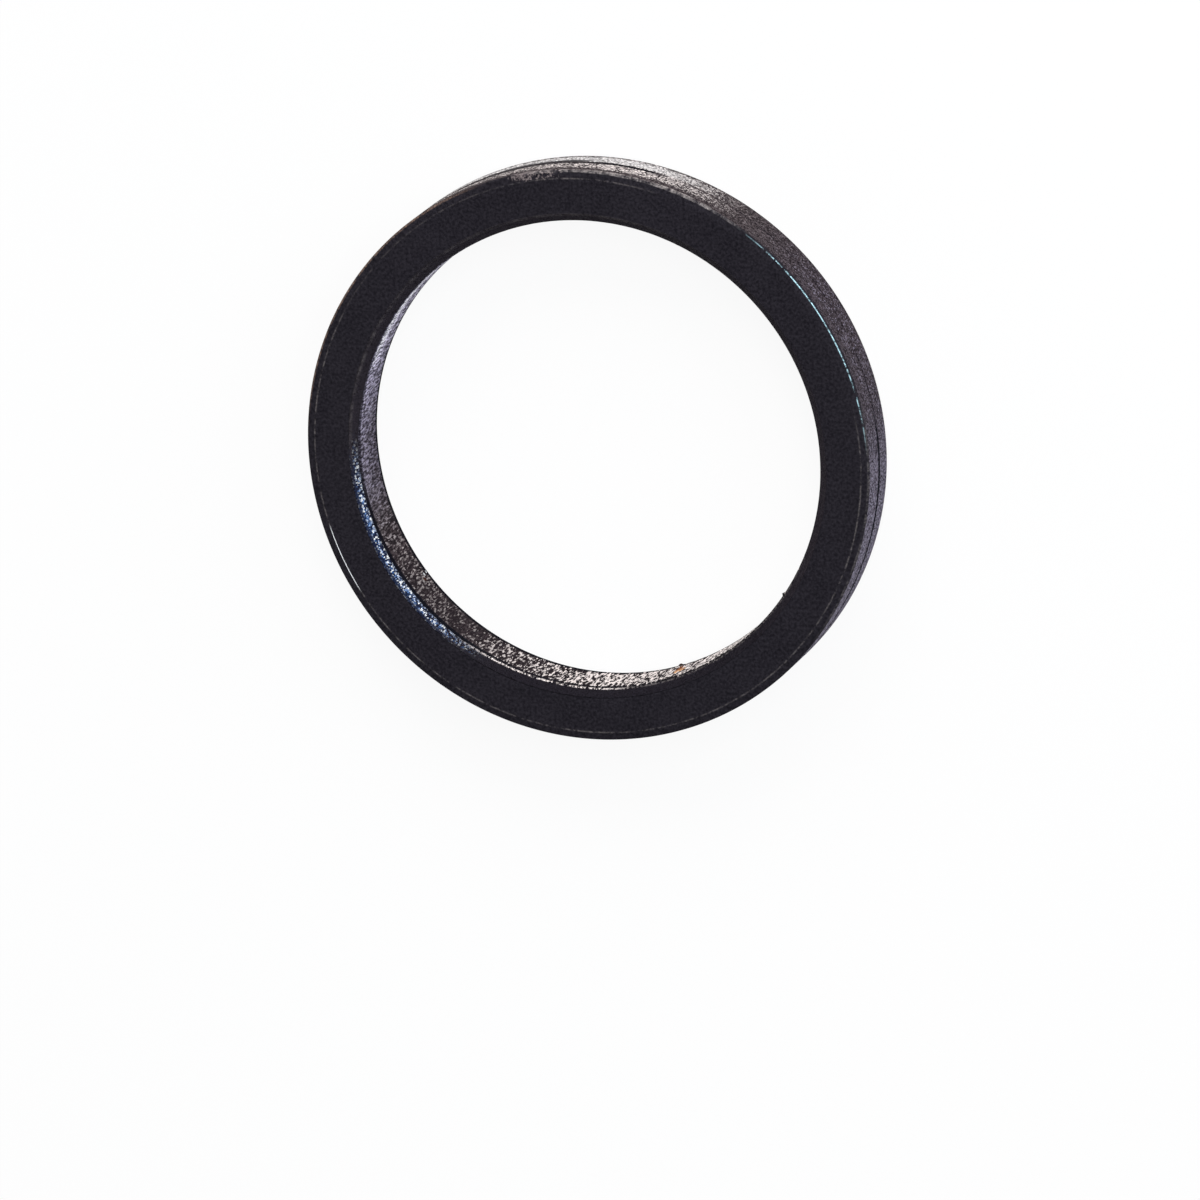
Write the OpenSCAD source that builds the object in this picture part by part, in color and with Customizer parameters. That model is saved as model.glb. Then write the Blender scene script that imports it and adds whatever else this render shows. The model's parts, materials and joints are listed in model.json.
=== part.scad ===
// Crush washer: one flat ring of mild steel, punched and coined, with a black finish.
// The bore is broken back at both faces, less at the lower one. Each face has a shallow
// bevel round its outer edge, and a fine shear line runs round the rim. The ring lies on
// its lower face, with the origin at the centre of that face and +Z along the bore.

/* [Ring] */
// Diameter of the bore, a clearance over a 15.9 mm (5/8 in) or 16 mm thread
bore_d = 16.2; // [8:0.1:40]
// Width of the ring from the bore to the rim
ring_w = 1.8; // [1.2:0.05:3]
// Thickness from face to face
thickness = 2.3; // [1.6:0.1:3.2]

/* [Upper bore edge] */
// Width of the broken edge, measured across the face
break_w = 0.31; // [0.15:0.01:0.45]
// Depth of the broken edge, measured down the bore
break_h = 0.31; // [0.15:0.01:0.45]
// Radius where the broken edge runs into the bore
break_r = 0.2; // [0.05:0.01:0.3]

/* [Lower bore edge] */
// Width of the broken edge, which is also its depth
lower_break = 0.14; // [0.08:0.01:0.25]
// Radius where the broken edge runs into the bore
lower_break_r = 0.1; // [0.03:0.01:0.15]

/* [Rim edges] */
// Width of the shallow bevel round each face
bevel_w = 0.28; // [0.15:0.01:0.4]
// Drop of the bevel between the face and the rim
bevel_h = 0.05; // [0.02:0.01:0.12]
// Radius of the corner between the bevel and the rim
corner_r = 0.08; // [0.03:0.01:0.12]

/* [Shear line] */
// Height of the line above the lower face
line_z = 1.05; // [0.4:0.05:1.2]
// Width of the line along the rim
line_w = 0.07; // [0.03:0.01:0.12]
// Depth of the line into the rim
line_depth = 0.03; // [0.01:0.01:0.06]

/* [Hidden] */
bore_r = bore_d / 2;
rim_r = bore_r + ring_w;

// Corners of the section as [radius, height], from the bore's foot round to its top
lower_bore = [bore_r, lower_break];
lower_face = [bore_r + lower_break, 0];
lower_bevel = [rim_r - bevel_w, 0];
lower_rim = [rim_r, bevel_h];
upper_rim = [rim_r, thickness - bevel_h];
upper_bevel = [rim_r - bevel_w, thickness];
upper_face = [bore_r + break_w, thickness];
upper_bore = [bore_r, thickness - break_h];

function unit(v) = v / norm(v);

// What a fillet of radius r takes off the corner p, between the points a and b. Its outer
// edges stand as far outside the corner as the fillet's centre is inside it.
module fillet_waste(p, a, b, r) {
    to_a = unit(a - p);
    to_b = unit(b - p);
    half_angle = acos(to_a * to_b) / 2;
    centre = p + unit(to_a + to_b) * r / sin(half_angle);
    tangent = r / tan(half_angle);
    touched = [p + to_a * tangent, p, p + to_b * tangent];
    difference() {
        polygon(concat([centre], [for (q = touched) 2 * q - centre]));
        translate(centre) circle(r);
    }
}

// The notch of the shear line, as wide outside the rim as it is deep inside it
module line_waste() {
    translate([rim_r, line_z])
        polygon([[-line_depth, 0], [line_depth, -line_w], [line_depth, line_w]]);
}

// Section of the ring on one side of its axis
module section() {
    difference() {
        polygon([
            lower_bore, lower_face, lower_bevel, lower_rim,
            upper_rim, upper_bevel, upper_face, upper_bore
        ]);
        fillet_waste(lower_bore, lower_face, upper_bore, lower_break_r);
        fillet_waste(lower_rim, lower_bevel, upper_rim, corner_r);
        fillet_waste(upper_rim, upper_bevel, lower_rim, corner_r);
        fillet_waste(upper_bore, upper_face, lower_bore, break_r);
        line_waste();
    }
}

module washer() {
    color("#26262b") rotate_extrude($fn = 180) section();
}

washer();
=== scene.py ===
import json
import math

import bpy
from mathutils import Matrix, Vector


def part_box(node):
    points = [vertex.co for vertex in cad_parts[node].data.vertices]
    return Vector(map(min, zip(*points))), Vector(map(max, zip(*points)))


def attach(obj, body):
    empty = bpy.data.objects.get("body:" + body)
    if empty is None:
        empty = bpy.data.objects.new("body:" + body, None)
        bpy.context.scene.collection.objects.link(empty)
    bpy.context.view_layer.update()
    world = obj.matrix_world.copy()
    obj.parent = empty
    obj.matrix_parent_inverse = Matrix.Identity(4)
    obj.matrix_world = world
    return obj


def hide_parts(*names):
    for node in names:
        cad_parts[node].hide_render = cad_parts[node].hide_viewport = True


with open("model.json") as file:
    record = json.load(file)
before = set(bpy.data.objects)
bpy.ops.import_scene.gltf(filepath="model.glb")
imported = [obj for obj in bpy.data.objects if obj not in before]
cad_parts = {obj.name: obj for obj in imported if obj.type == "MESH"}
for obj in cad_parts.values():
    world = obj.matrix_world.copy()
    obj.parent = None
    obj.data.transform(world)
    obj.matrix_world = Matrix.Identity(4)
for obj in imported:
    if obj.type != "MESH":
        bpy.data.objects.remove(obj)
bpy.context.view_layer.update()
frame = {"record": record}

# A crush washer: one coined ring of steel with a black finish, lying on a pale floor.
# The ring's size comes from the imported frame. Its surface gets the grain, the broken
# bore edge, the shear line and the small flaws that a punched and coined ring has, and
# painted highlights, sheen and shade on the stretches where light falls brightest or least.

bl_info = {
    "name": "Crush Washer",
    "version": (1, 0, 0),
    "blender": (4, 5, 0),
    "location": "3D View > Sidebar > Washer",
    "description": "Makes a black steel crush washer and the studio it lies in",
    "category": "Add Mesh",
}

RING_NODE = "washer"
MM = 0.001
UM = 0.000001

_, ring_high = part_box(RING_NODE)
bore_mount = next(m for m in frame["record"]["mounts"] if m["name"] == "bore")


# --- what a user would change -------------------------------------------------------------


def size(name, description, default):
    return bpy.props.FloatProperty(
        name=name, description=description, default=default, min=0.0, precision=6, unit="LENGTH"
    )


def share(name, description, default):
    return bpy.props.FloatProperty(
        name=name, description=description, default=default, min=0.0, max=1.0, subtype="FACTOR"
    )


def tint(name, description, default):
    return bpy.props.FloatVectorProperty(
        name=name, description=description, default=default, min=0.0, max=1.0, subtype="COLOR"
    )


def angle(name, description, degrees):
    return bpy.props.FloatProperty(
        name=name, description=description, default=math.radians(degrees), subtype="ANGLE"
    )


class WasherShape(bpy.types.PropertyGroup):
    """Sizes of the ring's section"""

    bore_radius: size("Bore radius", "Radius of the bore", bore_mount["dims"]["r_mm"] * MM)
    rim_radius: size("Rim radius", "Radius of the rim", ring_high.x)
    thickness: size("Thickness", "From face to face", ring_high.z)
    break_width: size("Break width", "Upper bore edge, across the face", 0.31 * MM)
    break_depth: size("Break depth", "Upper bore edge, down the bore", 0.31 * MM)
    break_radius: size("Break radius", "Where that edge runs into the bore", 0.20 * MM)
    lower_break: size("Lower break", "Lower bore edge, across and down", 0.14 * MM)
    lower_radius: size("Lower radius", "Where that edge runs into the bore", 0.10 * MM)
    bevel_width: size("Bevel width", "Shallow bevel round each face", 0.28 * MM)
    bevel_drop: size("Bevel drop", "From the face to the rim", 0.05 * MM)
    corner_radius: size("Corner radius", "Between the bevel and the rim", 0.08 * MM)
    crease_radius: size("Crease radius", "Between the face and what borders it", 0.02 * MM)
    line_height: size("Line height", "Shear line above the lower face", 1.05 * MM)
    line_width: size("Line width", "Shear line along the rim", 0.07 * MM)
    line_depth: size("Line depth", "Shear line into the rim", 0.03 * MM)
    gouge_depth: size("Gouge depth", "Where the shear line opens into a gouge", 30 * UM)
    wall_grain: size("Wall grain", "Relief of the torn bore and rim", 8 * UM)
    edge_grain: size("Edge grain", "Relief of the broken upper edge", 26 * UM)
    segments: bpy.props.IntProperty(
        name="Segments", description="Steps round the ring", default=760, min=24, max=2000
    )


class WasherFinish(bpy.types.PropertyGroup):
    """Colours of the black finish and of what shows through it"""

    coat: tint("Coat", "Black finish of the faces", (0.0052, 0.0046, 0.0070))
    thin_coat: tint("Thin coat", "The same finish where it is thinnest", (0.0240, 0.0215, 0.0275))
    wall: tint("Wall", "Thinner finish of the rim and the bore", (0.014, 0.010, 0.012))
    brown: tint("Brown", "Thinnest finish of the rim and the bore", (0.052, 0.037, 0.041))
    # Black laid in as painted shade: the shear line, the gouge, the bore's shoulder and foot, and
    # one stretch of the broken edge
    painted_shade: tint("Pit", "Finish in the shear line and the bore's foot", (0.004, 0.004, 0.007))
    edge: tint("Edge", "Finish of the broken edge", (0.024, 0.020, 0.026))
    # Painted bluish glints of the broken edge
    blue_glints: tint("Blued steel", "Bluish grains of the broken edge", (0.15, 0.34, 0.78))
    # Painted bluish reflection on one stretch of the broken edge
    edge_blue_reflection: tint("Blue coat", "Finish between those grains", (0.012, 0.017, 0.042))
    # Also the steel of the painted highlights and sheen on the walls
    steel: tint("Steel", "Steel where the finish is rubbed through", (1.0, 0.90, 0.87))
    # Steel tinted bluish as a painted reflection on two stretches
    blue_reflection_steel: tint("Cool steel", "The same steel under a bluish tarnish", (0.73, 0.67, 0.92))
    scuff: tint("Scuff", "Finish knocked thin on the bevel", (0.088, 0.068, 0.071))
    # Partly wear and partly a painted glint along the upper corner
    copper: tint("Copper", "Brownish steel on the worn upper corner", (0.32, 0.215, 0.165))
    # Painted highlight: a pale blue band on one stretch of the upper corner
    lamp_highlight: tint("Tarnish", "Pale blue steel where the rim meets the bevel", (0.42, 0.66, 0.74))
    # Also the painted glint on the crease and the painted highlight high on the bore and under
    # the shear line
    bare: tint("Bare steel", "Steel that is burnished bright", (0.92, 0.95, 0.97))
    rust: tint("Rust", "Spot of rust in the bore", (0.160, 0.052, 0.018))
    rust_light: tint("Pale rust", "Thin rust beside the spot", (0.62, 0.34, 0.17))
    dark_spot: tint("Dark spot", "Burr beside the rust, and the dark nick", (0.035, 0.014, 0.008))


class StudioLook(bpy.types.PropertyGroup):
    """Camera, floor and sky"""

    tilt: angle("Tilt", "Between the line of sight and the bore's axis", 22.54)
    bearing: angle("Bearing", "Side that the camera leans to, from +X towards +Y", 39.84)
    lens: bpy.props.FloatProperty(
        name="Lens", description="Focal length in millimetres", default=356.4, min=20.0
    )
    sensor: bpy.props.FloatProperty(
        name="Sensor", description="Width of the sensor in millimetres", default=36.0, min=1.0
    )
    distance: size("Distance", "From the camera to the upper face", 400 * MM)
    aim_right: angle("Aim right", "Turns the camera to the right of the ring", 0.0674)
    aim_down: angle("Aim down", "Turns the camera below the ring", 0.6887)
    floor: tint("Floor", "Colour of the floor", (0.90, 0.90, 0.90))
    floor_reach: size("Floor reach", "From the ring to the floor's sides", 1.0)
    backdrop: tint("Backdrop", "What the camera sees of floor and sky", (1.0, 1.0, 1.0))
    blank: share("Blank", "How far the backdrop hides the floor from the camera", 0.92)
    horizon: tint("Horizon", "Light of the sky near the floor", (0.55, 0.55, 0.58))
    zenith: tint("Zenith", "Light of the sky overhead", (0.12, 0.12, 0.13))


# Soft boxes that face the ring: name, bearing and elevation in degrees, distance, width and
# height in metres, radiance, colour.
LAMPS = (
    ("cool_box", 25, 23, 0.30, 0.24, 0.12, 4.7, (0.80, 0.91, 1.0)),
    ("warm_box", 92, 26, 0.30, 0.22, 0.14, 7.5, (1.0, 0.97, 0.94)),
    ("top_box", 45, 58, 0.40, 0.30, 0.20, 4.2, (0.96, 0.98, 1.0)),
)


# --- marks of punching and handling, and painted light and shade --------------------------

# Stretches of the ring: bearing from +X towards +Y, half width and soft end, in degrees.

# Walls that are more or less worn, on the stretches where light falls brightest: partly wear and
# partly painted highlight
WORN_RIM_HIGHLIGHT = (94, 10, 32)
WORN_BORE_HIGHLIGHT = (-67, 33, 30)
BARED_RIM_HIGHLIGHT = (96, 12, 30)
GRAZED_RIM_HIGHLIGHT = (-5, 35, 25)
GRAZED_BORE_HIGHLIGHT = (180, 20, 30)
FLECKED_BORE_HIGHLIGHT = (-131, 8, 14)
# Painted shade on stretches of the walls
BORE_SHADE = (-112, 9, 14)
BORE_SHADE_SPOT = (-75, 4, 8)
SHADED_RIM = (101, 6, 12)

# Walls with painted sheen, and where their steel is tinted bluish as a painted reflection
BORE_SHEEN = (154, 24, 28)
BRIGHTEST_BORE_SHEEN = (134, 10, 36)
SHOULDER_SHEEN = (154, 24, 20)
CROWN_HIGHLIGHT = (140, 12, 12)
RIM_SHEEN = (-30, 14, 34)
WORN_RIM_SHEEN = (94, 8, 34)
FAINT_RIM_SHEEN = (30, 25, 25)
RIM_SHEEN_SPOT = (6, 12, 12)
BLUE_REFLECTION_BORE = (150, 35, 25)
BLUE_REFLECTION_RIM = (-5, 40, 25)

# Shear line, and the gouge that it opens into, which lies a little lower. Their dark stretches
# are painted shade
SHADED_LINE = (-18, 20, 12)
SHORT_SHADED_LINE = (84, 6, 6)
GOUGE_TAIL = (103, 8, 8)
GOUGE_HEAD = (112, 4, 9)
GOUGE_DROP = 0.15 * MM

# Broken upper edge of the bore, which ends a little higher on one stretch. Its dark stretch is
# painted shade, its blue stretch a painted reflection and its glitter painted glints; the beaded
# ridge is wear
HIGH_EDGE = (-155, 20, 18)
EDGE_RISE = 0.055 * MM
SHADED_EDGE = (-80, 25, 35)
BLUE_REFLECTION_EDGE = (-153, 8, 20)
EDGE_GLINTS = (-151, 8, 25)
BEADED_RIDGE = (-103, 9, 16)
FAINT_RIDGE = (-72, 42, 12)
RUBBED_LIP = (122, 45, 20)

# Corner between the rim and the bevel, and crease between the bevel and the face. Their scuffs
# and copper are partly wear and partly painted highlight; the corner's pale band and the crease's
# glint are painted highlights
CORNER_HIGHLIGHT = (29, 12, 15)
SCUFFED_RIM_HIGHLIGHT = (82, 12, 10)
SCUFFED_ARRIS_HIGHLIGHT = (78, 14, 12)
GRAZED_ARRIS_HIGHLIGHT = (-12, 14, 14)
COPPER_ARRIS_GLINT = (144, 18, 18)
DARK_CREASE = (42, 26, 16)
FAINT_CREASE = (126, 18, 16)
GLINT = (-156, 5, 3)

# Knock on the bevel: bearing in degrees, then the distance from the rim, the half width and
# the half height.
KNOCK_BEARING = 98.3
KNOCK_INSET = 0.06 * MM
KNOCK_ACROSS = 0.95 * MM
KNOCK_TALL = 0.22 * MM

# Spots on the bore's wall: bearing in degrees, then height, half width and half height in mm.
RUST_SPOTS = ((-71.7, 0.85, 0.12, 0.55), (-70.6, 0.98, 0.13, 0.28))
DARK_SPOTS = ((-72.8, 0.10, 0.14, 0.20), (-142.6, 0.72, 0.10, 0.14))
PALE_SPOTS = ((-143.5, 0.52, 0.08, 0.06), (-143.7, 0.26, 0.06, 0.05))

# Burrs and nicks of the bore: bearing in degrees, then the distance from the bore's wall, the
# height, the reach and how far they stand out, in mm.
SCARS = (
    (-34.5, 0.02, 1.92, 0.09, 0.08),
    (-72.6, 0.00, 0.20, 0.12, 0.07),
    (-142.8, 0.00, 0.66, 0.14, -0.05),
)

# Soft border between two zones of the section
SOFT = 0.02 * MM

# Patterns of the surface, each by the length of its grains. On the bore they are drawn out
# along the axis, by this share of the height, and the finish has relief of this depth.
LUMP_SIZE = 0.16 * MM
CHIP_SIZE = 0.13 * MM
GRAIN_SIZE = 0.072 * MM
FACET_SIZE = 0.056 * MM
MOTTLE_SIZE = 0.9 * MM
FINE_SIZE = 0.10 * MM
STREAK_SIZE = 0.3 * MM
RAGGED_SIZE = 0.12 * MM
BORE_DRAW = 0.72
RELIEF = 90 * UM


# --- node trees ---------------------------------------------------------------------------

# Sockets of a Mix node that mixes colours
MIX_AMOUNT = 0
MIX_FIRST = 6
MIX_SECOND = 7
MIX_RESULT = 2


class Value:
    """An output socket of a node tree, with the arithmetic that this file uses"""

    def __init__(self, build, socket):
        self.build = build
        self.socket = socket

    def math(self, operation, *values):
        inputs = dict(enumerate(values))
        return self.build.node("ShaderNodeMath", {"operation": operation}, inputs)

    def __add__(self, other):
        return self.math("ADD", self, other)

    def __sub__(self, other):
        return self.math("SUBTRACT", self, other)

    def __rsub__(self, other):
        return self.math("SUBTRACT", other, self)

    def __mul__(self, other):
        return self.math("MULTIPLY", self, other)

    def __truediv__(self, other):
        return self.math("DIVIDE", self, other)

    def __pow__(self, other):
        return self.math("POWER", self, other)

    def __abs__(self):
        return self.math("ABSOLUTE", self)

    __radd__ = __add__
    __rmul__ = __mul__

    def least(self, other):
        return self.math("MINIMUM", self, other)

    def most(self, other):
        return self.math("MAXIMUM", self, other)

    def rises(self, low, high):
        """0 below low, 1 above high, and smooth between them"""
        inputs = {"Value": self, "From Min": low, "From Max": high}
        return self.build.node(
            "ShaderNodeMapRange", {"interpolation_type": "SMOOTHSTEP"}, inputs
        )

    def falls(self, low, high):
        """1 below low, 0 above high, and smooth between them"""
        return 1.0 - self.rises(low, high)

    def clamped(self):
        return self.most(0.0).least(1.0)

    def compared(self, middle, reach):
        """1 at the middle and 0 at reach from it, on either side"""
        return abs(self - middle).falls(0.0, reach)


class Builder:
    """Adds nodes to a shader tree or a geometry tree"""

    def __init__(self, tree):
        self.tree = tree

    def node(self, kind, settings=None, inputs=None, output=0):
        made = self.tree.nodes.new(kind)
        for name, value in (settings or {}).items():
            setattr(made, name, value)
        for name, value in (inputs or {}).items():
            if isinstance(value, Value):
                self.tree.links.new(value.socket, made.inputs[name])
            else:
                made.inputs[name].default_value = value
        return Value(self, made.outputs[output]) if made.outputs else None

    def vector(self, operation, *values, output="Vector"):
        inputs = dict(enumerate(values))
        return self.node("ShaderNodeVectorMath", {"operation": operation}, inputs, output)

    def scaled(self, vector, amount):
        inputs = {"Vector": vector, "Scale": amount}
        return self.node("ShaderNodeVectorMath", {"operation": "SCALE"}, inputs)

    def mixed(self, amount, first, second):
        """The colour first where amount is 0, and second where it is 1"""
        inputs = {MIX_AMOUNT: amount, MIX_FIRST: opaque(first), MIX_SECOND: opaque(second)}
        return self.node("ShaderNodeMix", {"data_type": "RGBA"}, inputs, MIX_RESULT)

    def part(self, vector, axis):
        """One of the numbers X, Y and Z of a vector"""
        return self.node("ShaderNodeSeparateXYZ", {}, {"Vector": vector}, axis)

    def noise(self, place, grain, detail=2.0, roughness=0.5):
        """Soft noise round 0.5 whose blobs are about one grain long"""
        inputs = {
            "Vector": place, "Scale": 1.0 / grain, "Detail": detail, "Roughness": roughness
        }
        return self.node("ShaderNodeTexNoise", {}, inputs)

    def crystals(self, place, grain):
        """Crystals about one grain across, each with a random vector of its own"""
        inputs = {"Vector": place, "Scale": 1.0 / grain}
        return self.node("ShaderNodeTexVoronoi", {}, inputs, "Color")


def opaque(color):
    """The colour with an alpha of 1, where it is a plain one"""
    return color if isinstance(color, Value) else (*color[:3], 1.0)


class Zones:
    """Where a point lies on the ring's section: each zone is 1 inside and 0 outside"""

    def __init__(self, build, place, shape):
        self.build = build
        self.place = place
        flat = build.vector("MULTIPLY", place, (1.0, 1.0, 0.0))
        self.outwards = build.vector("NORMALIZE", flat)
        self.radius = build.vector("LENGTH", flat, output="Value")
        self.height = build.part(place, "Z")
        self.depth = self.height.least(shape.thickness - self.height)
        self.upper = self.height.rises(0.4 * shape.thickness, 0.6 * shape.thickness)
        self.find_bore(shape)
        self.find_rim(shape)

    def find_bore(self, shape):
        """The bore's wall with its shoulder and foot, and the broken edge with its borders"""
        from_bore = self.radius - shape.bore_radius
        width = shape.break_width
        self.bore_side = from_bore.falls(width - SOFT, width + SOFT)

        # Broken edge, its outer and inner part, the ridge between it and the bore, and the
        # lip between it and the face
        deep = shape.thickness - self.height + self.stretch(HIGH_EDGE) * EDGE_RISE
        end = shape.break_depth - 0.10 * shape.break_radius
        self.edge = self.bore_side * deep.falls(end - SOFT, end + 0.5 * SOFT)
        self.outer_edge = self.edge * from_bore.rises(0.62 * width, 0.86 * width)
        self.inner_edge = self.edge * from_bore.falls(0.25 * width, 0.60 * width)
        self.ridge = self.edge * deep.rises(end - 3.5 * SOFT, end - 2 * SOFT)
        self.lip = self.upper * from_bore.compared(width - 2 * SOFT, 4 * SOFT)

        # Wall of the bore, its shoulder under the edge, and its foot
        self.bore = self.bore_side - self.edge
        round_end = shape.break_depth + 0.40 * shape.break_radius
        self.shoulder = self.bore * deep.falls(round_end - SOFT, round_end + 2 * SOFT)
        foot = shape.lower_break + 1.2 * shape.lower_radius
        self.foot = self.bore_side * self.height.falls(foot, foot + 6 * SOFT)

    def find_rim(self, shape):
        """The rim's wall with its shear line and gouge, and the borders of the bevel"""
        from_rim = shape.rim_radius - self.radius
        corner = shape.bevel_drop + shape.corner_radius
        self.rim = from_rim.falls(SOFT, 2 * SOFT) * self.depth.rises(corner - 0.05 * MM, corner)

        # Rounded corner between the rim and the bevel, a narrow band on top of it, and the
        # crease between the bevel and the face
        self.arris = self.upper * from_rim.falls(0.055 * MM, 0.085 * MM) * (1.0 - self.rim)
        self.corner_band = self.upper * from_rim.compared(0.065 * MM, 0.030 * MM)
        self.crease = self.upper * from_rim.compared(shape.bevel_width, 0.045 * MM)

        # Shear line, fading out from its middle and cut sharply, and the gouge
        from_line = abs(self.height - shape.line_height)
        self.line = self.rim * from_line.falls(0.0, 0.11 * MM)
        self.cut = self.rim * from_line.falls(0.06 * MM, 0.14 * MM)
        from_gouge = abs(self.height - shape.line_height + GOUGE_DROP)
        tail = from_gouge.falls(0.18 * MM, 0.26 * MM) * self.stretch(GOUGE_TAIL)
        head = from_gouge.falls(0.22 * MM, 0.32 * MM) * self.stretch(GOUGE_HEAD)
        self.gouge = self.rim * tail.most(head)

    def towards(self, degrees):
        """Cosine of the turn between a point and a bearing"""
        bearing = math.radians(degrees)
        toward = (math.cos(bearing), math.sin(bearing), 0.0)
        return self.build.vector("DOT_PRODUCT", self.outwards, toward, output="Value")

    def stretch(self, span):
        """1 on a stretch of the ring, given as bearing, half width and soft end"""
        degrees, half_width, soft = span
        outside = math.cos(math.radians(half_width + soft))
        inside = math.cos(math.radians(half_width))
        return self.towards(degrees).rises(outside, inside)

    def patch(self, degrees, level, middle, across, tall):
        """1 on an oval round a bearing and the middle of a level, and 0 well outside it"""
        bearing = math.radians(degrees)
        sideways = (-math.sin(bearing), math.cos(bearing), 0.0)
        side = self.build.vector("DOT_PRODUCT", self.place, sideways, output="Value") / across
        up = (level - middle) / tall
        ragged = self.build.noise(self.place, RAGGED_SIZE) - 0.5
        away = (side * side + up * up) ** 0.5 + ragged
        return away.falls(0.75, 1.05) * self.towards(degrees).rises(0.0, 0.1)

    def bore_spots(self, spots):
        """1 on the ragged spots of the bore's wall"""
        inside = 0.0
        for degrees, height, across, tall in spots:
            spot = self.patch(degrees, self.height, height * MM, across * MM, tall * MM)
            inside = spot.most(inside)
        return inside * self.bore

    def near(self, degrees, radius, height, reach):
        """1 at a point of the ring, and 0 at reach from it"""
        bearing = math.radians(degrees)
        centre = (radius * math.cos(bearing), radius * math.sin(bearing), height)
        away = self.build.vector("DISTANCE", self.place, centre, output="Value")
        return away.falls(0.0, reach)


# --- the ring -----------------------------------------------------------------------------


def fillet(corner, before, after, radius, steps):
    """Points of the arc that rounds a corner of the section"""
    to_before = (before - corner).normalized()
    to_after = (after - corner).normalized()
    half = to_before.angle(to_after) / 2
    reach = radius / math.tan(half)
    start = corner + to_before * reach
    end = corner + to_after * reach
    centre = corner + (to_before + to_after).normalized() * radius / math.sin(half)
    first = (start - centre).angle_signed(Vector((1.0, 0.0)))
    last = (end - centre).angle_signed(Vector((1.0, 0.0)))
    turn = (last - first + math.pi) % math.tau - math.pi
    angles = [first + turn * i / steps for i in range(steps + 1)]
    return [centre + Vector((math.cos(a), math.sin(a))) * radius for a in angles]


def straight(start, end, spacing):
    """Points strictly between the two ends of a straight stretch of the section"""
    steps = max(1, round((end - start).length / spacing))
    return [start.lerp(end, i / steps) for i in range(1, steps)]


def section_points(shape):
    """The closed section as (radius, height) points, from the bore's foot round to it"""
    bore, rim, top = shape.bore_radius, shape.rim_radius, shape.thickness
    line, half_line = shape.line_height, shape.line_width / 2
    line_round = 0.004 * MM
    wall_step = 0.055 * MM
    # Each corner: place, radius, steps round it, and the spacing of the stretch after it.
    corners = [
        ((bore, shape.lower_break), shape.lower_radius, 3, 0.11 * MM),
        ((bore + shape.lower_break, 0.0), shape.crease_radius, 1, 0.6 * MM),
        ((rim - shape.bevel_width, 0.0), shape.crease_radius, 1, 0.14 * MM),
        ((rim, shape.bevel_drop), shape.corner_radius, 4, wall_step),
        ((rim, line - half_line), line_round, 1, wall_step),
        ((rim - shape.line_depth, line), line_round, 1, wall_step),
        ((rim, line + half_line), line_round, 1, wall_step),
        ((rim, top - shape.bevel_drop), shape.corner_radius, 8, 0.05 * MM),
        ((rim - shape.bevel_width, top), shape.crease_radius, 2, 0.12 * MM),
        ((bore + shape.break_width, top), shape.crease_radius, 2, 0.03 * MM),
        ((bore, top - shape.break_depth), shape.break_radius, 6, wall_step),
    ]
    places = [Vector(place) for place, *_ in corners]
    arcs = []
    for i, (_, radius, steps, _) in enumerate(corners):
        after = places[(i + 1) % len(places)]
        arcs.append(fillet(places[i], places[i - 1], after, radius, steps))
    points = []
    for i, arc in enumerate(arcs):
        points += arc
        points += straight(arc[-1], arcs[(i + 1) % len(arcs)][0], corners[i][3])
    return points


def section_mesh(shape):
    """The section as a loop of edges, drawn round the point that the path passes through"""
    points = section_points(shape)
    mesh = bpy.data.meshes.new("ring_section")
    vertices = [(p.x - shape.bore_radius, -p.y, 0.0) for p in reversed(points)]
    mesh.from_pydata(vertices, [(i, (i + 1) % len(points)) for i in range(len(points))], [])
    return mesh


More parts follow.
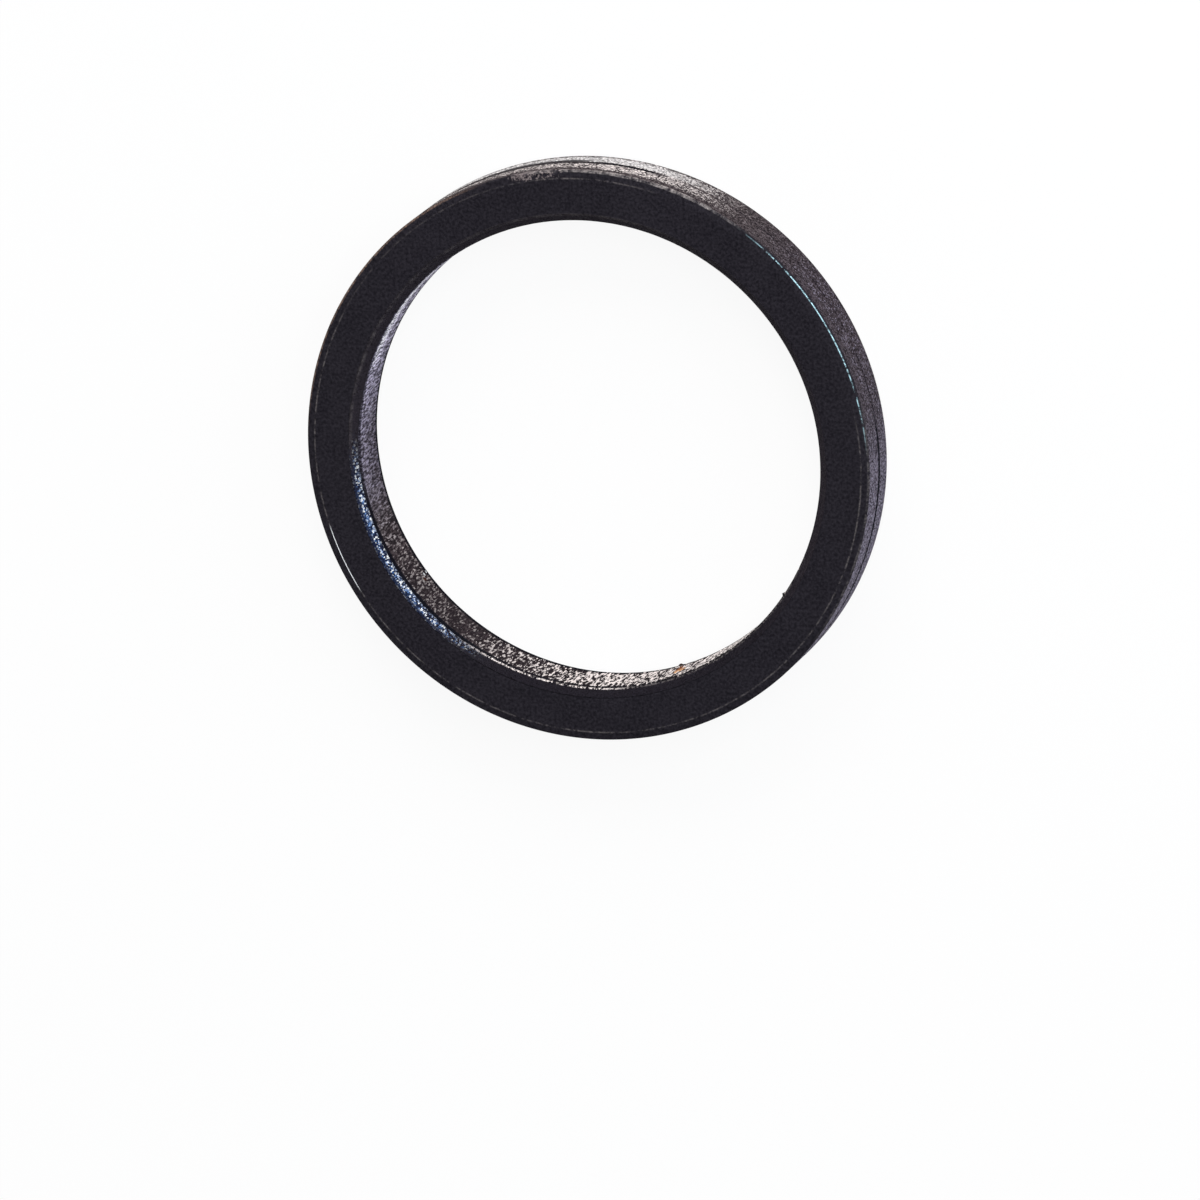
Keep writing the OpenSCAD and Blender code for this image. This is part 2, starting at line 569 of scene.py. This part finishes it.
def ring_tree(shape, material):
    """Sweeps the section round the bore and gives the ring its uneven surface"""
    tree = bpy.data.node_groups.new("Coined ring", "GeometryNodeTree")
    kinds = {
        "Section": "NodeSocketGeometry",
        "Bore radius": "NodeSocketFloat",
        "Segments": "NodeSocketInt",
        "Wall grain": "NodeSocketFloat",
        "Edge grain": "NodeSocketFloat",
        "Gouge depth": "NodeSocketFloat",
    }
    sockets = {}
    for name, kind in kinds.items():
        socket = tree.interface.new_socket(name, in_out="INPUT", socket_type=kind)
        sockets[name] = socket.identifier
    tree.interface.new_socket("Ring", in_out="OUTPUT", socket_type="NodeSocketGeometry")
    build = Builder(tree)
    given = {name: build.node("NodeGroupInput", output=name) for name in kinds}

    path = build.node(
        "GeometryNodeCurvePrimitiveCircle",
        inputs={"Resolution": given["Segments"], "Radius": given["Bore radius"]},
    )
    level = build.node("GeometryNodeSetCurveNormal", {"mode": "Z_UP"}, {"Curve": path})
    profile = build.node("GeometryNodeMeshToCurve", {}, {"Mesh": given["Section"]})
    swept = build.node(
        "GeometryNodeCurveToMesh", {}, {"Curve": level, "Profile Curve": profile}
    )

    place = build.node("GeometryNodeInputPosition")
    zones = Zones(build, place, shape)
    walls = zones.bore.most(zones.rim)
    lumps = build.noise(place, LUMP_SIZE, detail=3.0, roughness=0.6) - 0.5
    chips = build.noise(place, CHIP_SIZE, detail=3.0, roughness=0.7) - 0.5
    above_floor = zones.height.rises(0.0, 0.1 * MM)
    lift = lumps * given["Wall grain"] * walls * above_floor
    lift = lift + chips * given["Edge grain"] * zones.edge
    lift = lift - zones.gouge * given["Gouge depth"]
    for degrees, from_bore, height, reach, tall in SCARS:
        radius = shape.bore_radius + from_bore * MM
        lift = lift + zones.near(degrees, radius, height * MM, reach * MM) * (tall * MM)
    normal = build.node("GeometryNodeInputNormal")
    moved = build.node(
        "GeometryNodeSetPosition", {}, {"Geometry": swept, "Offset": build.scaled(normal, lift)}
    )

    smooth = build.node("GeometryNodeSetShadeSmooth", {}, {"Geometry": moved})
    solid = build.node("GeometryNodeRealizeInstances", {}, {"Geometry": smooth})
    finished = build.node(
        "GeometryNodeSetMaterial", {}, {"Geometry": solid, "Material": material}
    )
    build.node("NodeGroupOutput", {}, {"Ring": finished})
    return tree, sockets


def make_plain(obj):
    """Gives obj the mesh that its modifiers make, and removes the modifiers"""
    graph = bpy.context.evaluated_depsgraph_get()
    mesh = bpy.data.meshes.new_from_object(obj.evaluated_get(graph))
    obj.modifiers.clear()
    obj.data = mesh


# --- finishes -----------------------------------------------------------------------------


def new_material(name):
    material = bpy.data.materials.new(name)
    material.use_nodes = True
    material.node_tree.nodes.clear()
    return material, Builder(material.node_tree)


class Grain:
    """Patterns that the parts of the finish share"""

    def __init__(self, build, zones):
        place = zones.place
        self.mottle = build.noise(place, MOTTLE_SIZE, detail=4.0, roughness=0.6)
        self.fine = build.noise(place, FINE_SIZE, detail=3.0, roughness=0.6)
        upright = build.vector("MULTIPLY", place, (1.0, 1.0, 0.2))
        self.streak = build.noise(upright, STREAK_SIZE, detail=5.0, roughness=0.75)

        # The punch has drawn the bore's grains out along the axis
        sunk = build.scaled((0.0, 0.0, -BORE_DRAW), zones.height * zones.bore)
        drawn = build.vector("ADD", place, sunk)
        self.grain = build.noise(drawn, GRAIN_SIZE, detail=3.0, roughness=0.65)
        self.facet = build.crystals(drawn, FACET_SIZE)
        split = build.part(self.facet, "X") - 0.5
        self.lot = build.part(self.facet, "Y")

        # Torn is round 0, and ruffled is the same surface with more contrast, from 0 to 1
        self.torn = (self.grain - 0.5) * 1.3 + split * 0.5
        self.ruffled = (self.grain * 3.5 - 1.25 + split * 0.6).clamped()

        # The broken edge has crystals of its own
        chip = build.crystals(place, FACET_SIZE)
        self.chance = build.part(chip, "X")
        self.catch = build.part(chip, "Y")


class BlackFinish:
    """Black finish, dense on the faces, thin and grainy on the walls and the broken edge"""

    def __init__(self, build, shape, colors):
        self.build = build
        self.shape = shape
        self.colors = colors
        self.zones = Zones(build, build.node("ShaderNodeTexCoord", output="Object"), shape)
        self.grain = Grain(build, self.zones)
        self.walls = self.zones.bore.most(self.zones.rim)
        self.coarse = self.walls.most(self.zones.edge)
        self.color = self.dense_coat()
        self.metal = 0.0
        self.find_wear()
        self.find_dark_places()

    def dense_coat(self):
        """The faces' coat, with a faint mottle"""
        grain, colors = self.grain, self.colors
        thin = (grain.mottle - 0.5) * 0.4 + (grain.fine - 0.5) * 1.8 + 0.5
        return self.build.mixed(thin.rises(0.0, 1.0), colors.coat, colors.thin_coat)

    def find_wear(self):
        """Where the walls are worn, and how far: partly wear and partly painted highlight, on the
        stretches where light falls brightest
        """
        zones = self.zones
        line_height = self.shape.line_height
        grazed_rim_highlight = zones.stretch(GRAZED_RIM_HIGHLIGHT) * zones.rim
        grazed_bore_highlight = zones.stretch(GRAZED_BORE_HIGHLIGHT) * zones.bore
        self.worn_bore_highlight = zones.stretch(WORN_BORE_HIGHLIGHT) * zones.bore
        # The worn stretches are partly wear and partly painted highlight
        self.worn = (zones.stretch(WORN_RIM_HIGHLIGHT) * zones.rim).most(self.worn_bore_highlight)
        self.worn = self.worn.most(grazed_rim_highlight * 0.16).most(grazed_bore_highlight * 0.22)

        # Under the shear line the rim is worn nearly bare, with a painted highlight on one
        # stretch, and it is darker towards its foot
        self.skirt = zones.rim * zones.height.falls(0.12 * MM, 0.40 * MM)
        self.bared_highlight = zones.stretch(BARED_RIM_HIGHLIGHT) * zones.rim * (1.0 - 0.55 * self.skirt)
        self.bared_highlight = self.bared_highlight * zones.height.falls(line_height - 0.25 * MM, line_height)

        # Painted highlight on the bore, brightest just under its upper edge
        self.crown_highlight = zones.height.rises(1.0 * MM, 1.75 * MM)
        self.crown_highlight = self.crown_highlight * zones.height.falls(1.89 * MM, 1.97 * MM)
        self.crown_highlight = self.crown_highlight * zones.stretch(CROWN_HIGHLIGHT) * zones.bore

    def find_dark_places(self):
        """Where the walls are darker: a ragged band along the rim's upper edge, painted shade in
        the shear line, the gouge, the bore's shoulder and on stretches of the rim and the bore,
        and a stretch of the bore with a darker ground and brighter flecks
        """
        zones, mottle = self.zones, self.grain.mottle
        ragged_depth = zones.depth - mottle * 0.6 * MM
        self.collar = zones.rim * zones.upper * ragged_depth.falls(0.0, 0.3 * MM)
        # Painted shade along stretches of the shear line and in the gouge
        cut = zones.cut * zones.stretch(SHADED_LINE).most(zones.stretch(SHORT_SHADED_LINE))
        broken_line_shade = zones.line * mottle.rises(0.38, 0.50) * 0.5
        self.line = broken_line_shade.most(zones.gouge).most(cut)
        self.shaded = zones.stretch(SHADED_RIM) * zones.rim
        self.flecked_highlight = zones.stretch(FLECKED_BORE_HIGHLIGHT) * zones.bore
        # Painted shade along the bore's shoulder under the broken edge, less where the sheen is
        self.shoulder_shade = 1.0 - 0.15 * self.worn_bore_highlight - 0.25 * zones.stretch(SHOULDER_SHEEN)
        self.shoulder_shade = zones.shoulder * self.shoulder_shade * (1.0 - 0.8 * self.crown_highlight)

    def cover(self, amount, color):
        """Lays a colour over what is there"""
        self.color = self.build.mixed(amount, self.color, color)

    def bare(self, amount, color):
        """Lets metal of a colour show through"""
        self.cover(amount, color)
        self.metal = amount.most(self.metal)

    def bright_tops_and_highlight(self):
        """Tops of the torn grains, where the finish is rubbed through: more of them on the
        stretches of painted highlight, fewer in the painted shade
        """
        zones, grain = self.zones, self.grain
        # Fewer bright tops where the finish is dull and in the painted shade
        dull_and_shade = (
            0.22
            + 0.35 * self.collar
            + 0.60 * self.line
            + 0.30 * self.shoulder_shade.most(zones.foot)
            + 0.10 * zones.stretch(BORE_SHADE) * zones.bore
            + 0.04 * zones.stretch(BORE_SHADE_SPOT) * zones.bore
            + 0.09 * self.shaded
            + 0.15 * self.skirt
            - 0.10 * self.flecked_highlight
        )
        high = grain.torn + 0.26 * self.worn + 0.10 * self.bared_highlight - dull_and_shade
        soft = high.rises(-0.05, 0.15) + 1.0 - self.worn_bore_highlight
        tops = high.rises(0.0, 0.07).least(soft) * self.walls * (1.0 - 0.85 * zones.gouge)
        least = 0.35 + 0.5 * self.worn_bore_highlight
        uneven = least + (1.0 - least) * grain.lot
        return tops * uneven * (0.14 + 0.08 * self.flecked_highlight + 0.86 * self.worn)

    def painted_sheen(self):
        """Painted sheen of steel between the grains, on stretches of the bore and the rim and
        under the shear line
        """
        zones, ruffled = self.zones, self.grain.ruffled
        bore_sheen = zones.stretch(BORE_SHEEN) * (zones.bore - self.shoulder_shade - zones.foot).clamped()
        bore_sheen = bore_sheen * (0.7 + 0.6 * zones.height.rises(0.5 * MM, 1.8 * MM))
        bore_sheen = bore_sheen * (0.9 + 1.6 * zones.stretch(BRIGHTEST_BORE_SHEEN)) * (1.0 + 1.1 * self.crown_highlight)
        # Painted sheen on the worn stretch of the rim, less near its edges
        worn = zones.stretch(WORN_RIM_SHEEN) * (0.80 - 0.65 * self.collar - 0.4 * self.skirt)
        rim_sheen = zones.stretch(RIM_SHEEN).most(worn)
        rim_sheen = rim_sheen.most(zones.stretch(FAINT_RIM_SHEEN) * 0.12)
        rim_sheen = rim_sheen.most(zones.stretch(RIM_SHEEN_SPOT) * 0.18)
        rim_sheen = rim_sheen * zones.rim * (1.0 - self.line) * (1.0 - 0.35 * self.shaded)
        smooth = bore_sheen.most(rim_sheen) * (0.36 * ruffled * ruffled + 0.02)
        return smooth.most(self.bared_highlight.rises(0.5, 1.0) * (1.0 - self.line) * 0.25)

    def torn_walls(self):
        """Thin brownish finish, painted shade in the shear line, the gouge, the bore's shoulder
        and its foot, and steel on worn grains and painted sheen, tinted bluish as a painted
        reflection on two stretches
        """
        build, zones, colors = self.build, self.zones, self.colors
        mild = 1.0 - 0.7 * self.worn_bore_highlight.most(self.flecked_highlight * 0.5)
        mild = mild * self.grain.torn.rises(-0.15, 0.15)
        self.cover(self.walls, build.mixed(mild, colors.wall, colors.brown))
        # Painted shade in the foot, the shear line, the gouge and the shoulder
        self.cover(zones.foot.most(self.line).most(self.shoulder_shade), colors.painted_shade)
        # Painted bluish reflection on two stretches of the walls
        blue_reflection = (zones.stretch(BLUE_REFLECTION_BORE) * zones.bore_side).most(
            zones.stretch(BLUE_REFLECTION_RIM) * zones.rim
        )
        steel = build.mixed(blue_reflection, colors.steel, colors.blue_reflection_steel)
        # Painted highlight under the shear line and high on the bore
        painted_shine = (self.bared_highlight * 0.5).most(self.crown_highlight * 0.7)
        steel = build.mixed(painted_shine, steel, colors.bare)
        self.bare(self.bright_tops_and_highlight().most(self.painted_sheen()), steel)

    def broken_edge(self):
        """Dark, with painted shade on one stretch, painted bluish glints of small facets and a
        painted bluish reflection on another, and rubbed bare in a thin broken line where it runs
        into the worn side of the bore"""
        build, zones, colors, grain = self.build, self.zones, self.colors, self.grain
        # Painted shade on one stretch of the edge and a painted bluish reflection on another
        edge = build.mixed(zones.stretch(SHADED_EDGE) * 0.5, colors.edge, colors.painted_shade)
        edge = build.mixed(zones.stretch(BLUE_REFLECTION_EDGE), edge, colors.edge_blue_reflection)
        self.cover(zones.edge, edge)

        # Painted glints on one stretch of the edge
        sparkle = (grain.chance + grain.grain * 0.8).rises(0.84, 0.92)
        sparkle = sparkle * zones.stretch(EDGE_GLINTS) * zones.edge
        sparkle = sparkle * (0.10 + 0.95 * grain.catch).least(1.0)
        sparkle = sparkle * (1.0 - 0.96 * zones.outer_edge)
        pale = grain.catch.rises(0.40, 0.80).most(zones.inner_edge * 0.65)
        self.bare(sparkle, build.mixed(pale, colors.blue_glints, colors.bare))

        beads = (grain.chance + grain.grain * 1.2).rises(0.90, 1.05) * (0.45 + 0.6 * grain.lot)
        beaded = zones.stretch(BEADED_RIDGE).most(zones.stretch(FAINT_RIDGE) * 0.10)
        self.bare(zones.ridge * beaded * beads, colors.steel)

    def knocked_bevel(self):
        """The finish is knocked thin at one place of the bevel, and flecked with steel"""
        zones, grain, colors = self.zones, self.grain, self.colors
        middle = self.shape.rim_radius - KNOCK_INSET
        knock = zones.patch(KNOCK_BEARING, zones.radius, middle, KNOCK_ACROSS, KNOCK_TALL)
        knock = knock * zones.upper * zones.depth.falls(0.10 * MM, 0.45 * MM)
        knock = knock * (grain.torn + (grain.mottle - 0.5) * 1.5).rises(-0.15, 0.15)
        self.cover(knock * (0.4 + 0.6 * grain.ruffled), colors.scuff)
        self.cover(knock * grain.ruffled * grain.ruffled * 0.12, colors.steel)

    def corner_wear_and_highlights(self):
        """The finish is thin or gone along the rim's upper corner, the crease and the lip: scuffs
        and copper on the corner are partly wear and partly painted highlight, and the pale band
        on the corner and the glint on the crease are painted highlights
        """
        zones, colors, streak = self.zones, self.colors, self.grain.streak
        top_of_rim = zones.upper * zones.rim * zones.depth.falls(0.15 * MM, 0.22 * MM)
        grainy = zones.arris * (0.25 + 0.75 * self.grain.ruffled)
        # Partly wear and partly painted highlight
        scuffed_highlight = top_of_rim * zones.stretch(SCUFFED_RIM_HIGHLIGHT)
        scuffed_highlight = scuffed_highlight.most(grainy * zones.stretch(SCUFFED_ARRIS_HIGHLIGHT) * 0.8)
        scuffed_highlight = scuffed_highlight.most(grainy * zones.stretch(GRAZED_ARRIS_HIGHLIGHT) * 0.3)
        scuffed_highlight = scuffed_highlight * streak.rises(0.40, 0.60) * 0.30

        faint = zones.crease * (1.0 - zones.stretch(DARK_CREASE)) * 0.10
        faint = faint * (1.0 - 0.6 * zones.stretch(FAINT_CREASE)) * streak.rises(0.40, 0.65)
        lip = zones.lip * zones.stretch(RUBBED_LIP) * streak.rises(0.35, 0.70) * 0.06
        self.bare(scuffed_highlight.most(faint).most(lip), colors.steel)

        # Partly wear and partly painted glint
        coppery_glint = grainy * zones.stretch(COPPER_ARRIS_GLINT) * streak.rises(0.35, 0.55)
        self.cover(coppery_glint * 0.6, colors.copper)
        # Painted highlight: a pale blue band on one stretch of the upper corner
        rubbed = zones.corner_band * zones.stretch(CORNER_HIGHLIGHT) * streak.rises(0.44, 0.56)
        self.bare(rubbed, colors.lamp_highlight)
        # Painted highlight: a pale line on one short stretch of the crease
        glint = zones.crease.rises(0.55, 1.0) * zones.stretch(GLINT)
        self.cover(glint * 0.9, colors.bare)

    def rust_and_nick(self):
        """A spot of rust on the bore with a dark burr behind it, and a nick with a pale lip"""
        zones, colors = self.zones, self.colors
        rusty = zones.bore_spots(RUST_SPOTS)
        dark = zones.bore_spots(DARK_SPOTS)
        pale = zones.bore_spots(PALE_SPOTS)
        wavy_height = zones.height + (self.grain.grain - 0.5) * 1.5 * MM
        thin = wavy_height.rises(0.75 * MM, 1.15 * MM)
        self.cover(rusty, self.build.mixed(thin, colors.rust, colors.rust_light))
        self.cover(dark, colors.dark_spot)
        self.cover(pale * 0.5, colors.bare)
        self.metal = self.metal * (1.0 - rusty.most(dark).most(pale))

    def relief(self):
        """Normal of the torn facets and the fine grain"""
        build, zones, grain = self.build, self.zones, self.grain
        normal = build.node("ShaderNodeNewGeometry", output="Normal")
        turned = build.vector("SUBTRACT", grain.facet, (0.5, 0.5, 0.5))
        turned = build.scaled(turned, self.walls * 0.5 + zones.edge * 0.9)
        upward = build.scaled((0.0, 0.0, 0.9), self.line.most(zones.foot))
        tilted = build.vector("ADD", build.vector("ADD", normal, turned), upward)
        inputs = {
            "Strength": 1.0,
            "Distance": RELIEF,
            "Height": grain.grain * self.coarse + grain.fine * 0.16 * (1.0 - self.coarse),
            "Normal": build.vector("NORMALIZE", tilted),
        }
        return build.node("ShaderNodeBump", {}, inputs)

    def surface(self):
        """The shader that shows what the layers have built up"""
        pits = self.coarse * self.grain.torn.falls(-0.15, 0.05)
        speckle = (1.0 - self.coarse) * (self.grain.fine - 0.5)
        inputs = {
            "Base Color": self.color,
            "Roughness": 0.62 - 0.30 * self.metal + 0.3 * pits + 0.2 * speckle,
            "Metallic": self.metal,
            "Normal": self.relief(),
            "Specular IOR Level": 0.04,
        }
        return self.build.node("ShaderNodeBsdfPrincipled", {}, inputs)


def black_finish(shape, colors):
    material, build = new_material("black_finish")
    finish = BlackFinish(build, shape, colors)
    finish.torn_walls()
    finish.broken_edge()
    finish.knocked_bevel()
    finish.corner_wear_and_highlights()
    finish.rust_and_nick()
    build.node("ShaderNodeOutputMaterial", {}, {"Surface": finish.surface()})
    return material


def seen_directly(build):
    """1 where a camera, a gloss or a glass sees the point, and 0 where it only gives light"""
    rays = [
        build.node("ShaderNodeLightPath", output=f"Is {kind} Ray")
        for kind in ("Camera", "Glossy", "Transmission")
    ]
    return rays[0].most(rays[1]).most(rays[2])


def pale_floor(look):
    """Lit by the lamps, and mostly plain white where a camera or a gloss sees it"""
    material, build = new_material("pale_floor")
    lit = build.node("ShaderNodeBsdfDiffuse", {}, {"Color": opaque(look.floor)})
    glow = build.node("ShaderNodeEmission", {}, {"Color": opaque(look.backdrop), "Strength": 1.0})
    seen = seen_directly(build) * look.blank
    surface = build.node("ShaderNodeMixShader", {}, {0: seen, 1: lit, 2: glow})
    build.node("ShaderNodeOutputMaterial", {}, {"Surface": surface})
    return material


# --- the studio ---------------------------------------------------------------------------


def placed(name, data):
    """A new object at the origin"""
    obj = bpy.data.objects.new(name, data)
    bpy.context.scene.collection.objects.link(obj)
    return obj


def aim(obj, location, target):
    """Puts a lamp at a place and turns it to a target"""
    obj.location = location
    obj.rotation_euler = (Vector(target) - Vector(location)).to_track_quat("-Z", "Y").to_euler()


def direction(bearing, elevation):
    """Unit vector at a bearing from +X towards +Y and an elevation above the floor, in degrees"""
    bearing, elevation = math.radians(bearing), math.radians(elevation)
    level = math.cos(elevation)
    return Vector((level * math.cos(bearing), level * math.sin(bearing), math.sin(elevation)))


def add_soft_box(name, bearing, elevation, away, width, height, radiance, color):
    """A rectangular soft box of the given radiance that faces the ring"""
    light = bpy.data.lights.new(name, "AREA")
    light.shape = "RECTANGLE"
    light.size = width
    light.size_y = height
    light.color = color
    light.energy = radiance * math.pi * width * height
    obj = placed(name, light)
    target = Vector((0.0, 0.0, ring_high.z))
    aim(obj, target + direction(bearing, elevation) * away, target)


def add_camera(look):
    data = bpy.data.cameras.new("camera")
    data.sensor_width = look.sensor
    data.lens = look.lens
    data.clip_start = 5 * MM
    camera = placed("camera", data)
    lean = Vector((-math.sin(look.bearing), math.cos(look.bearing), 0.0))
    turned = Matrix.Rotation(look.tilt, 4, lean)
    turned @= Matrix.Rotation(-look.aim_down, 4, "X") @ Matrix.Rotation(-look.aim_right, 4, "Y")
    back = Matrix.Rotation(look.tilt, 3, lean) @ Vector((0.0, 0.0, look.distance))
    camera.matrix_world = Matrix.Translation(back + Vector((0.0, 0.0, ring_high.z))) @ turned
    bpy.context.scene.camera = camera


def add_world(look):
    """Bright at the horizon and dim overhead, and plain white where the camera sees it"""
    world = bpy.data.worlds.new("studio")
    bpy.context.scene.world = world
    world.use_nodes = True
    world.node_tree.nodes.clear()
    build = Builder(world.node_tree)
    place = build.node("ShaderNodeTexCoord", output="Generated")
    sky = build.mixed(build.part(place, "Z").rises(0.0, 0.9), look.horizon, look.zenith)
    color = build.mixed(seen_directly(build), sky, look.backdrop)
    background = build.node("ShaderNodeBackground", {}, {"Color": color, "Strength": 1.0})
    build.node("ShaderNodeOutputWorld", {}, {"Surface": background})


def add_floor(look):
    mesh = bpy.data.meshes.new("floor")
    reach = look.floor_reach
    corners = [(-reach, -reach, 0), (reach, -reach, 0), (reach, reach, 0), (-reach, reach, 0)]
    mesh.from_pydata(corners, [], [(0, 1, 2, 3)])
    mesh.materials.append(pale_floor(look))
    floor = placed("floor", mesh)


# --- operators and panel ------------------------------------------------------------------


class WASHER_OT_ring(bpy.types.Operator):
    """Make the ring and put the black finish on it"""

    bl_idname = "washer.ring"
    bl_label = "Coined ring"

    def execute(self, context):
        shape = context.scene.washer_shape
        material = black_finish(shape, context.scene.washer_finish)
        tree, sockets = ring_tree(shape, material)
        ring = placed("washer_ring", section_mesh(shape))
        modifier = ring.modifiers.new("Coined ring", "NODES")
        modifier.node_group = tree
        modifier[sockets["Bore radius"]] = shape.bore_radius
        modifier[sockets["Segments"]] = shape.segments
        modifier[sockets["Wall grain"]] = shape.wall_grain
        modifier[sockets["Edge grain"]] = shape.edge_grain
        modifier[sockets["Gouge depth"]] = shape.gouge_depth
        make_plain(ring)
        if not ring.data.polygons:
            raise RuntimeError("the ring came out empty")
        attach(ring, "root")
        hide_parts(RING_NODE)
        return {"FINISHED"}


class WASHER_OT_studio(bpy.types.Operator):
    """Add the floor, the sky, the lamps and the camera"""

    bl_idname = "washer.studio"
    bl_label = "Studio"

    def execute(self, context):
        look = context.scene.studio_look
        add_floor(look)
        add_world(look)
        for lamp in LAMPS:
            add_soft_box(*lamp)
        add_camera(look)
        return {"FINISHED"}


class WASHER_PT_panel(bpy.types.Panel):
    """Lists the steps that make the washer and its studio"""

    bl_label = "Crush Washer"
    bl_idname = "WASHER_PT_panel"
    bl_space_type = "VIEW_3D"
    bl_region_type = "UI"
    bl_category = "Washer"

    def draw(self, context):
        for step in STEPS:
            self.layout.operator(step.bl_idname)
        scene = context.scene
        for group in (scene.washer_shape, scene.washer_finish, scene.studio_look):
            box = self.layout.box()
            for name in group.__annotations__:
                box.prop(group, name)


STEPS = (WASHER_OT_ring, WASHER_OT_studio)
CLASSES = (WasherShape, WasherFinish, StudioLook, *STEPS, WASHER_PT_panel)


def register():
    for cls in CLASSES:
        bpy.utils.register_class(cls)
    bpy.types.Scene.washer_shape = bpy.props.PointerProperty(type=WasherShape)
    bpy.types.Scene.washer_finish = bpy.props.PointerProperty(type=WasherFinish)
    bpy.types.Scene.studio_look = bpy.props.PointerProperty(type=StudioLook)


def unregister():
    del bpy.types.Scene.studio_look
    del bpy.types.Scene.washer_finish
    del bpy.types.Scene.washer_shape
    for cls in reversed(CLASSES):
        bpy.utils.unregister_class(cls)


def main():
    register()
    bpy.ops.washer.ring()
    bpy.ops.washer.studio()
    bpy.context.scene.view_settings.view_transform = "Standard"


if __name__ == "__main__":
    main()
